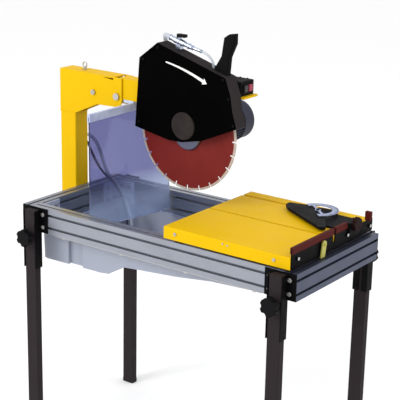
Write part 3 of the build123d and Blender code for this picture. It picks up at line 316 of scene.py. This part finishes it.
def clear_plastic(name, colour, alpha, rough=0.22, ripple=30, depth=0.2, floor=None):
    """Translucent plastic: milky clouding, drawn ripples and water marks. Upward faces can take a lighter
    tint, painted light.
    """
    graph = Graph(name)
    clouds = graph.noise(14, 5, 0.6)
    final = graph.mix(graph.ramp(clouds, 0.35, 0.75, 0, 0.5), colour, scaled(colour, 0.8))
    if floor is not None:
        # upward faces take the lighter floor tint: painted light on the shaded tank floor
        final = graph.mix(graph.painted_shading_by_facing("Z", 0.2, 0.8), final, floor)
    drips = graph.noise(9, 6, 0.7, (5, 5, 0.7))
    roughness = graph.ramp(drips, 0.4, 0.7, rough, rough + 0.2)
    mask, soft = graph.edges(CLEAR_EDGE)
    see = graph.add("ShaderNodeMath", operation="ADD", use_clamp=True)
    graph.link(graph.ramp(clouds, 0.3, 0.8, alpha - 0.05, alpha + 0.08), see.inputs[0])
    graph.link(graph.multiply(mask, 0.25), see.inputs[1])
    graph.link(see.outputs["Value"], graph.bsdf.inputs["Alpha"])
    return graph.finish(final, roughness, graph.bump(graph.noise(ripple, 3), depth, 0.002, soft))


# The sheet's tint above the first height and below the second, in metres above the floor. The paler lower
# tint is painted light on the shaded lower sheet.
VINYL_UPPER = (0.19, 0.2, 0.42, 1)
VINYL_LOWER_PAINTED_LIGHT = (0.66, 0.78, 1.0, 1)
VINYL_PAINTED_LIGHT_TURNS = (0.86, 0.76)


def vinyl(name):
    """Thin tinted sheet, deep where it hangs from its bar and paler towards its lower edge, where the
    paler tint and the weaker transmission are painted light.
    """
    upper, lower = VINYL_UPPER, VINYL_LOWER_PAINTED_LIGHT
    graph = Graph(name)
    parts = graph.add("ShaderNodeSeparateXYZ")
    graph.link(graph.place, parts.inputs["Vector"])
    # height runs from 0 at the upper turn to 1 at the lower; the paler lower tint it brings in is painted
    # light
    height = graph.ramp(parts.outputs["Z"], *VINYL_PAINTED_LIGHT_TURNS)
    tint_and_painted_light = graph.mix(height, upper, lower)
    clouds = graph.noise(9, 5, 0.6)
    toned = graph.mix(graph.ramp(clouds, 0.4, 0.8, 0, 0.25), tint_and_painted_light, scaled(upper, 1.2))
    drips = graph.noise(9, 6, 0.7, (5, 5, 0.7))
    rough = graph.ramp(drips, 0.35, 0.7, 0.02, 0.09)
    # less transmission low down, part of the painted light of the paler lower sheet
    graph.link(graph.ramp(height, 0, 1, 0.86, 0.64), graph.bsdf.inputs["Transmission Weight"])
    graph.bsdf.inputs["IOR"].default_value = 1.3
    return graph.finish(toned, rough, graph.bump(graph.noise(14, 3), 0.2, 0.001))


def sintered(name):
    """Diamond segments: sandy grey-brown metal with coarse grit."""
    graph = Graph(name)
    grit = graph.noise(1500, 4, 0.8)
    final = graph.mix(graph.ramp(grit, 0.4, 0.65), linear(150, 132, 118), linear(226, 216, 205))
    rough = graph.ramp(grit, 0.3, 0.7, 0.35, 0.7)
    return graph.finish(final, rough, graph.bump(grit, 0.6, 0.0003), metallic=0.55)


def red_core():
    """Painted blade core: circular grinding marks under dark red enamel."""
    graph = Graph("blade_red")
    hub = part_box("blade_core")
    centre = [(low + high) / 2 for low, high in zip(*hub)]
    shift = graph.add("ShaderNodeMapping")
    shift.inputs["Location"].default_value = [-value for value in centre]
    graph.link(graph.place, shift.inputs["Vector"])
    length = graph.add("ShaderNodeVectorMath", operation="LENGTH")
    graph.link(shift.outputs["Vector"], length.inputs[0])
    rings = graph.add("ShaderNodeTexNoise", noise_dimensions="1D")
    rings.inputs["Scale"].default_value = 900
    graph.link(length.outputs["Value"], rings.inputs["W"])
    clouds = graph.noise(12, 5, 0.6)
    red = linear(114, 23, 16)
    toned = graph.mix(graph.ramp(clouds, 0.35, 0.75, 0, 0.5), red, scaled(red, 0.6))
    final = graph.mix(graph.ramp(rings.outputs["Fac"], 0.45, 0.7, 0, 0.18), toned, scaled(red, 1.6))
    rough = graph.ramp(clouds, 0.3, 0.7, 0.46, 0.6)
    return graph.finish(final, rough, graph.bump(rings.outputs["Fac"], 0.1, 0.0002), specular=0.2)


YELLOW = linear(224, 179, 0)
ALUMINIUM = linear(150, 154, 164)
BLACK = linear(9, 8, 10)


def make_materials():
    return {
        "aluminium_x": extruded_aluminium("aluminium_x", ALUMINIUM, 0),
        "aluminium_y": extruded_aluminium("aluminium_y", scaled(ALUMINIUM, 0.9), 1),
        # a darker copy of the same aluminium: painted shade for the right rail's shaded side
        "aluminium_painted_shade": extruded_aluminium("aluminium_painted_shade", linear(74, 80, 100), 1),
        "zinc_steel": metal("zinc_steel", linear(190, 188, 184)),
        "bracket_zinc": metal("bracket_zinc", linear(206, 210, 222), 0.45, metallic=0.25),
        "black_paint": paint("black_paint", BLACK, 0.5, linear(70, 66, 66), specular=0.05),
        # the guard's front faces are painted near black as painted shade; its other faces keep the grey
        "guard_paint": paint(
            "guard_paint", linear(50, 46, 47), 0.7, linear(60, 56, 56), specular=0.02, front_painted_shade=linear(1, 1, 1)
        ),
        "leg_black": paint("leg_black", linear(44, 38, 40), 0.6, linear(110, 105, 102), specular=0.06),
        "yellow_paint": paint("yellow_paint", YELLOW, 0.5, linear(120, 100, 60), dirt=0.06, specular=0.08),
        "motor_grey": paint("motor_grey", linear(48, 50, 66), 0.5, linear(110, 112, 118), specular=0.15),
        "blade_red": red_core(),
        "blade_segment": sintered("blade_segment"),
        "dark_steel": metal("dark_steel", linear(96, 98, 118), 0.35),
        "black_plastic": plastic("black_plastic", linear(12, 11, 13), 0.6, specular=0.08),
        "handle_plastic": plastic("handle_plastic", linear(13, 12, 13), 0.65, 700, 0.6, specular=0.05),
        "grey_plastic": plastic("grey_plastic", linear(42, 37, 36), 0.7, 900, specular=0.06),
        "red_plastic": plastic("red_plastic", linear(72, 20, 16), 0.6, 900, specular=0.08),
        "knob_dark": plastic("knob_dark", linear(30, 12, 12), 0.6, 900, specular=0.08),
        "ring_steel": metal("ring_steel", linear(164, 174, 204), 0.4),
        "bar_plastic": plastic("bar_plastic", linear(176, 186, 222), 0.5, 1200, 0.2),
        "switch_red": plastic("switch_red", linear(150, 30, 62), 0.3, 2000, 0.1),
        "switch_green": plastic("switch_green", linear(8, 14, 10), 0.3, 2000, 0.1),
        "lever_cream": plastic("lever_cream", linear(160, 156, 66), 0.4, 1600, 0.15),
        # the tank's upward faces get a paler blue tint as painted light
        "tank_plastic": clear_plastic(
            "tank_plastic", linear(160, 165, 181), 0.86, 0.3, floor=linear(172, 196, 250)
        ),
        "curtain_vinyl": vinyl("curtain_vinyl"),
        "clear_hose": clear_plastic("clear_hose", linear(196, 202, 214), 0.66, 0.12, 60, 0.15),
        "cable_rubber": plastic("cable_rubber", linear(36, 36, 52), 0.6, 1800, 0.3),
        "tap_metal": metal("tap_metal", linear(186, 194, 214), 0.2, metallic=1.0),
        "copper": metal("copper", linear(176, 96, 54), 0.35),
        "mark_white": paint("mark_white", linear(236, 236, 232), 0.5, linear(120, 120, 118), peel=0.1),
        "mark_black": paint("mark_black", linear(20, 20, 22), 0.5, linear(60, 60, 60), peel=0.1),
    }


# The frame's slots take the finish of the same name, except where a node shows something finer.
SPECIAL = {
    "rail_front": "aluminium_x",
    "rail_back": "aluminium_x",
    "rail_left": "aluminium_y",
    # the right rail takes the darker copy of the aluminium as painted shade
    "rail_right": "aluminium_painted_shade",
    "corner_brackets": "bracket_zinc",
    "guard_front": "guard_paint",
    "guard_back": "guard_paint",
    "feed_handle": "handle_plastic",
    "curtain_bar": "bar_plastic",
    "protractor_ring": "ring_steel",
    "protractor_knob": "knob_dark",
}


def dress_nodes(materials):
    slots = {part["node"]: part["material_slot"] for part in frame["record"]["subparts"]}
    for name, node in NODES.items():
        finish = SPECIAL.get(name, slots[name])
        node.data.materials.clear()
        node.data.materials.append(materials[finish])


# ---- Pieces ------------------------------------------------------------------------------------------


def new_piece(name, data, body, material):
    """Links a mesh or a curve as a piece that rides on a body."""
    data.materials.append(material)
    piece = bpy.data.objects.new(name, data)
    bpy.context.scene.collection.objects.link(piece)
    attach(piece, body)
    return piece


def mesh_from(name, maker, smooth=True):
    """A mesh filled by maker, which works on a bmesh."""
    work = bmesh.new()
    maker(work)
    bmesh.ops.recalc_face_normals(work, faces=work.faces)
    mesh = bpy.data.meshes.new(name)
    work.to_mesh(mesh)
    work.free()
    if smooth:
        mesh.shade_smooth()
    return mesh


def bridge(work, pairs):
    """Faces between the rings of points in each pair."""
    for first, second in pairs:
        for side in range(len(first)):
            after = (side + 1) % len(first)
            work.faces.new((first[side], first[after], second[after], second[side]))


def round_curve(name, kind, spots, radius, roundness):
    """A curve of round section with its one spline, whose points are the spots."""
    curve = bpy.data.curves.new(name, "CURVE")
    curve.dimensions = "3D"
    curve.bevel_depth = radius
    curve.bevel_resolution = roundness
    spline = curve.splines.new(kind)
    spline.points.add(len(spots) - 1)
    for point, spot in zip(spline.points, spots):
        point.co = (*spot, 1)
    return curve, spline


def smooth_cord(name, route, radius, body, material, node):
    """A round cord on a smooth spline, which cuts inside its route's corners."""
    curve, spline = round_curve(name, "NURBS", [at(*spot) for spot in route], radius * MM, 6)
    curve.use_fill_caps = True
    curve.resolution_u = 16
    spline.order_u = 3
    spline.use_endpoint_u = True
    piece = new_piece(name, curve, body, material)
    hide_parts(node)


def make_cords(materials):
    cable = [
        (-44, 302, 148), (-44, 326, 147), (-36, 344, 128), (-24, 349, 98), (-5, 349, 65), (26, 347, 33),
        (68, 345, 13), (99, 342, -10), (122, 336, -42), (141, 327, -70), (157, 316, -92), (163, 312, -113),
        (163, 312, -134),
    ]
    hose = [
        (-22, 300, 160), (-22, 330, 159), (-13, 352, 140), (0, 362, 108), (12, 364, 74), (26, 364, 40),
        (50, 364, 10), (84, 360, -12), (114, 353, -38), (138, 344, -64), (160, 332, -82), (172, 325, -102),
        (172, 325, -122),
    ]
    feed = [
        (332, 262, 378), (334, 262, 410), (342, 261, 448), (352, 260, 489),
        (357, 256, 522), (365, 240, 542), (383, 225, 547.1), (402, 225, 541),
    ]
    outlet = [
        (510, 225, 513.5), (526, 225, 510.25), (541, 225, 501.5), (552, 225, 491), (557, 225, 478),
        (557.5, 225, 465),
    ]
    rubber = materials["cable_rubber"]
    clear = materials["clear_hose"]
    smooth_cord("pump_cable", cable, 4, "frame", rubber, "pump_lines")
    smooth_cord("pump_hose", hose, 6, "frame", clear, "pump_lines")
    smooth_cord("feed_hose", feed, 7, "head", clear, "guard_hoses")
    smooth_cord("outlet_hose", outlet, 3.5, "head", clear, "guard_hoses")


CURTAIN_STEPS = 60           # along the sheet's width, and down its drop
CURTAIN_THICKNESS = 0.0012
FLARE = 0.042                # how far the lower back corner swings out, in metres
CURL = 0.012                 # how far the lower front corner curls, in metres
CURL_HEIGHT = 0.18           # the curled share of the drop
CURL_WIDTH = 0.25            # the curled share of the width
WAVES = ((3.1, 0.6, 0.0035), (7.3, 2, 0.0012))    # half waves across, phase, height in metres
DRIFT = 0.003                # height of the random waves, in metres
DRIFT_SCALE = 3
DRIFT_SLICE = 4.2            # which slice of the noise is taken


def curtain_point(across, down):
    """A point of the hanging sheet. It waves softly and its lower back corner swings towards the blade."""
    low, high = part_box("curtain")
    y = low[1] + (high[1] - low[1]) * across
    z = high[2] + (low[2] - high[2]) * down
    wave = sum(sin(across * halves * pi + phase) * height for halves, phase, height in WAVES)
    drift = noise.noise(Vector((across * DRIFT_SCALE, down * DRIFT_SCALE, DRIFT_SLICE))) * DRIFT
    curled_down = max(0, down - (1 - CURL_HEIGHT)) / CURL_HEIGHT
    curl = CURL * curled_down * max(0, CURL_WIDTH - across) / CURL_WIDTH
    swing = FLARE * across ** 2.5 * down ** 0.6
    x = (low[0] + high[0]) / 2 + (wave + drift) * down ** 0.8 + curl + swing
    return Vector((x, y, z))


def apply_modifiers(piece):
    """Makes the piece's modifiers part of its mesh."""
    graph = bpy.context.evaluated_depsgraph_get()
    mesh = bpy.data.meshes.new_from_object(piece.evaluated_get(graph))
    piece.modifiers.clear()
    piece.data = mesh


def make_curtain(materials):
    """The splash curtain as one thin sheet."""
    def fill(work):
        rows = []
        shares = [step / CURTAIN_STEPS for step in range(CURTAIN_STEPS + 1)]
        for down in shares:
            rows.append([work.verts.new(curtain_point(across, down)) for across in shares])
        for upper, lower in zip(rows, rows[1:]):
            for column in range(CURTAIN_STEPS):
                work.faces.new((upper[column], upper[column + 1], lower[column + 1], lower[column]))

    mesh = mesh_from("curtain_sheet", fill)
    sheet = new_piece("curtain_sheet", mesh, "head", materials["curtain_vinyl"])
    solid = sheet.modifiers.new("thickness", "SOLIDIFY")
    solid.thickness = CURTAIN_THICKNESS
    solid.offset = 0
    apply_modifiers(sheet)
    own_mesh(sheet)
    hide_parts("curtain")


def ring_of_blocks(work, centre, radius, angles, length, width, height):
    """Small tick blocks on a level circle."""
    for angle in angles:
        spot = Vector(centre) + Vector((cos(angle), sin(angle), 0)) * radius
        place = Matrix.Translation(spot) @ Matrix.Rotation(angle, 4, "Z")
        size = Matrix.Diagonal((length, width, height, 1))
        bmesh.ops.create_cube(work, size=1, matrix=place @ size)


# Each row of ticks: its circle's radius, first angle and step in degrees, and count, then a tick's length
# and width.
TICKS_CENTRE = at(845, 371, 60.5)
TICK_ROWS = (
    (0.059, -55, 5, 42, 0.004, 0.0006),
    (0.0555, -45, 30, 7, 0.009, 0.0009),
)
MARK_THICKNESS = 0.0004


def make_protractor_ticks(materials):
    def fill(work):
        for radius, first, step, count, length, width in TICK_ROWS:
            angles = [radians(first + step * index) for index in range(count)]
            ring_of_blocks(work, TICKS_CENTRE, radius, angles, length, width, MARK_THICKNESS)

    mesh = mesh_from("protractor_ticks", fill, smooth=False)
    new_piece("protractor_ticks", mesh, "protractor", materials["mark_black"])


RING_TURNS = 48
RING_SIDES = 10


def turn_to(axis):
    """The rotation that takes +Z to an axis."""
    return Vector((0, 0, 1)).rotation_difference(Vector(axis)).to_matrix()


def swept_ring(work, centre, axis, radius, thickness):
    """A closed ring of round section about an axis."""
    turn = turn_to(axis)
    rows = []
    for step in range(RING_TURNS):
        angle = 2 * pi * step / RING_TURNS
        row = []
        for side in range(RING_SIDES):
            swing = 2 * pi * side / RING_SIDES
            reach = radius + thickness * cos(swing)
            spot = Vector((reach * cos(angle), reach * sin(angle), thickness * sin(swing)))
            row.append(work.verts.new(Vector(centre) + turn @ spot))
        rows.append(row)
    bridge(work, zip(rows, rows[1:] + rows[:1]))


# Each ring's centre and axis, then its radius and half its thickness.
GROMMETS = (
    (at(-44, 307.8, 147.8), (0, 1, 0), 0.0052, 0.0018),
    (at(-22, 307.8, 159.8), (0, 1, 0), 0.0073, 0.002),
)
HOSE_CLAMPS = (
    (at(399, 225, 541.8), (19, 0, -5), 0.0081, 0.0015),
    (at(513, 225, 512.7), (16, 0, -4.5), 0.0046, 0.0011),
    (at(434, 225, 531.8), (14, 0, -3.8), 0.0102, 0.0012),
    (at(482, 225, 519), (14, 0, -4.2), 0.0064, 0.0012),
)


def make_rings(name, rings, body, slot, materials):
    """A piece made of rings, in the material of its slot."""
    def fill(work):
        for centre, axis, radius, thickness in rings:
            swept_ring(work, centre, axis, radius, thickness)

    new_piece(name, mesh_from(name, fill), body, materials[slot])


ARROW_CENTRE = at(305.5, 194.7, -119.2)
ARROW_RADIUS = 0.6
ARROW_WIDTH = 0.009
ARROW_START = radians(80.5)
ARROW_END = radians(66.8)
ARROW_STEPS = 36
ARROW_TAIL = 0.45            # the tail's width as a share of the width at the head


def flat_arc_arrow(work):
    """A flat curved arrow in the X-Z plane, as a thin closed plate."""
    radius, width, start, end, steps = ARROW_RADIUS, ARROW_WIDTH, ARROW_START, ARROW_END, ARROW_STEPS
    outer = []
    inner = []
    for step in range(steps + 1):
        angle = start + (end - start) * step / steps
        taper = ARROW_TAIL + (1 - ARROW_TAIL) * step / steps
        for edge, side in ((outer, 0.5), (inner, -0.5)):
            reach = radius + side * width * taper
            edge.append(Vector((reach * cos(angle), 0, reach * sin(angle))))
    tip_turn = end + (end - start) / abs(end - start) * width * 1.7 / radius
    barb = width * 1.15
    head = [
        Vector(((radius + barb) * cos(end), 0, (radius + barb) * sin(end))),
        Vector((radius * cos(tip_turn), 0, radius * sin(tip_turn))),
        Vector(((radius - barb) * cos(end), 0, (radius - barb) * sin(end))),
    ]
    loop = outer + head + inner[::-1]
    depth = Vector((0, MARK_THICKNESS, 0))
    front = [work.verts.new(ARROW_CENTRE + spot) for spot in loop]
    back = [work.verts.new(ARROW_CENTRE + spot + depth) for spot in loop]
    for index in range(steps):
        mirror = len(loop) - 1 - index
        work.faces.new((front[index], front[index + 1], front[mirror - 1], front[mirror]))
        work.faces.new((back[mirror], back[mirror - 1], back[index + 1], back[index]))
    arrow = list(range(steps, steps + 5))
    work.faces.new([front[index] for index in arrow])
    work.faces.new([back[index] for index in reversed(arrow)])
    for index in range(len(loop)):
        after = (index + 1) % len(loop)
        work.faces.new((front[after], front[index], back[index], back[after]))


def make_rotation_mark(materials):
    """A plain arrow for the blade's direction, where the guard carries its marking."""
    mesh = mesh_from("rotation_mark", flat_arc_arrow, smooth=False)
    new_piece("rotation_mark", mesh, "head", materials["mark_white"])


# A screw head's outline as shares of its radius and height, and its hexagon recess as two more levels.
HEAD_SIDES = 24
HEAD_OUTLINE = ((1.0, 0.0), (1.0, 0.45), (0.93, 0.75), (0.75, 0.95), (0.5, 1.0))
RECESS_LEVELS = (0.97, 0.45)
RECESS_REACH = 0.42          # from the head's middle to a flat of the hexagon


def screw_head(work, centre, axis, radius, height):
    """A pan head with a hexagon recess."""
    turn = turn_to(axis)

    def ring(reach, level, six_sided=False):
        spots = []
        for side in range(HEAD_SIDES):
            angle = 2 * pi * side / HEAD_SIDES
            sector = (angle + pi / 6) % (pi / 3) - pi / 6
            spread = reach * radius / cos(sector) if six_sided else reach * radius
            spots.append(Vector((spread * cos(angle), spread * sin(angle), level * height)))
        return [work.verts.new(centre + turn @ spot) for spot in spots]

    rows = [ring(reach, level) for reach, level in HEAD_OUTLINE]
    rows += [ring(RECESS_REACH, level, six_sided=True) for level in RECESS_LEVELS]
    bridge(work, zip(rows, rows[1:]))
    work.faces.new(rows[-1])
    work.faces.new(rows[0][::-1])


# Small screws: each group's places, the way they face, and a head's radius and height.
CART_SCREWS = (
    ([at(x, 0, z) for x, z in ((761, 33), (778, 31))], (0, -1, 0), 0.003, 0.0016),
    ([at(992, y, z) for y, z in ((30, 33), (297, 31), (430, 25))], (1, 0, 0), 0.005, 0.002),
)
GUARD_SCREWS = ((318, 470), (374, 512), (612, 446), (634, 392), (652, 316), (304, 275))
HEAD_SCREWS = (
    ([at(x, y, 434) for x in (593, 619) for y in (258, 312)], (0, 0, 1), 0.0028, 0.0016),
    ([at(x, 195, z) for x, z in GUARD_SCREWS], (0, -1, 0), 0.004, 0.002),
)


def make_screws(name, groups, body, material):
    def fill(work):
        for centres, axis, radius, height in groups:
            for centre in centres:
                screw_head(work, centre, axis, radius, height)

    new_piece(name, mesh_from(name, fill), body, material)


# The weld's corners and level in millimetres, then its bead.
WELD_CORNERS = ((-65, 247), (0, 247), (0, 307), (-65, 307))
WELD_LEVEL = 247
WELD_RADIUS = 0.0016
WELD_STEPS = 20
WELD_WOBBLE = 0.35


def make_weld_beads(materials):
    """Weld bead round the joint between the column and the head bracket."""
    spots = []
    for (x0, y0), (x1, y1) in zip(WELD_CORNERS, WELD_CORNERS[1:] + WELD_CORNERS[:1]):
        for step in range(WELD_STEPS):
            share = step / WELD_STEPS
            level = WELD_LEVEL + WELD_WOBBLE * sin(step * 2.1)
            spots.append(at(x0 + (x1 - x0) * share, y0 + (y1 - y0) * share, level))
    curve, spline = round_curve("column_weld", "POLY", spots, WELD_RADIUS, 3)
    spline.use_cyclic_u = True
    new_piece("column_weld", curve, "frame", materials["yellow_paint"])


make_camera()
make_stage()
MATERIALS = make_materials()
dress_nodes(MATERIALS)
make_cords(MATERIALS)
make_curtain(MATERIALS)
make_protractor_ticks(MATERIALS)
make_rings("column_grommets", GROMMETS, "frame", "black_plastic", MATERIALS)
make_rings("hose_clamps", HOSE_CLAMPS, "head", "tap_metal", MATERIALS)
make_rotation_mark(MATERIALS)
make_screws("skirt_screws", CART_SCREWS, "cart", MATERIALS["zinc_steel"])
make_screws("head_screws", HEAD_SCREWS, "head", MATERIALS["black_plastic"])
make_weld_beads(MATERIALS)
